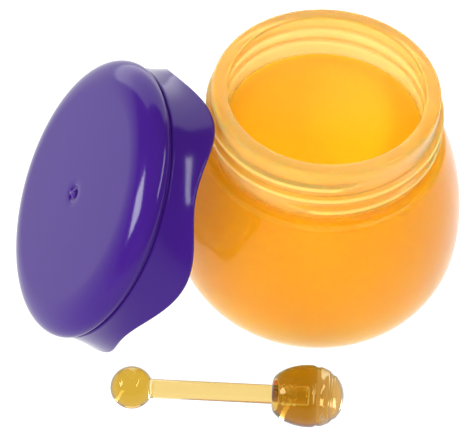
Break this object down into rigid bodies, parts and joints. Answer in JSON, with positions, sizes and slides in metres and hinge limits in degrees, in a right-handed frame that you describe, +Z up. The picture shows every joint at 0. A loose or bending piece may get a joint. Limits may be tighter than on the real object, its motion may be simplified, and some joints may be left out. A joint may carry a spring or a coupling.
{
  "type": "cosmetic jar",
  "caption": "Round screw-top cosmetic jar with gel inside, its drip-edged lid taken off and leaning on it, and a honey-dipper applicator.",
  "frame": {"origin": "centre of the jar's flat base, on the surface it stands on", "axes": "+Z up along the jar's axis out of its mouth; -Y towards the dipper; -X towards the leaning lid"},
  "size_m": [0.1057, 0.0883, 0.0631],
  "materials": {
    "pot_plastic": "translucent orange, glossy",
    "gel": "orange gel, wet and smooth",
    "lid_plastic": "violet, glossy moulding",
    "inner_cap": "white, semi-gloss",
    "liner": "foamed, matt white",
    "amber_acrylic": "clear amber, polished"
  },
  "bodies": {
    "jar": {"jar_body": "pot_plastic", "gel_fill": "gel"},
    "lid": {"lid_shell": "lid_plastic", "lid_insert": "inner_cap", "lid_liner": "liner"},
    "dipper": {"dipper_handle": "amber_acrylic", "dipper_head": "amber_acrylic"}
  },
  "joints": [
    {"name": "lid_lift", "type": "slide", "parent": "jar", "child": "lid", "axis": [-0.8417, -0.1758, 0.5105], "range_m": [0, 0.08]},
    {"name": "dipper_lift", "type": "slide", "parent": "jar", "child": "dipper", "axis": [0, -0.7071, 0.7071], "range_m": [0, 0.08]}
  ]
}
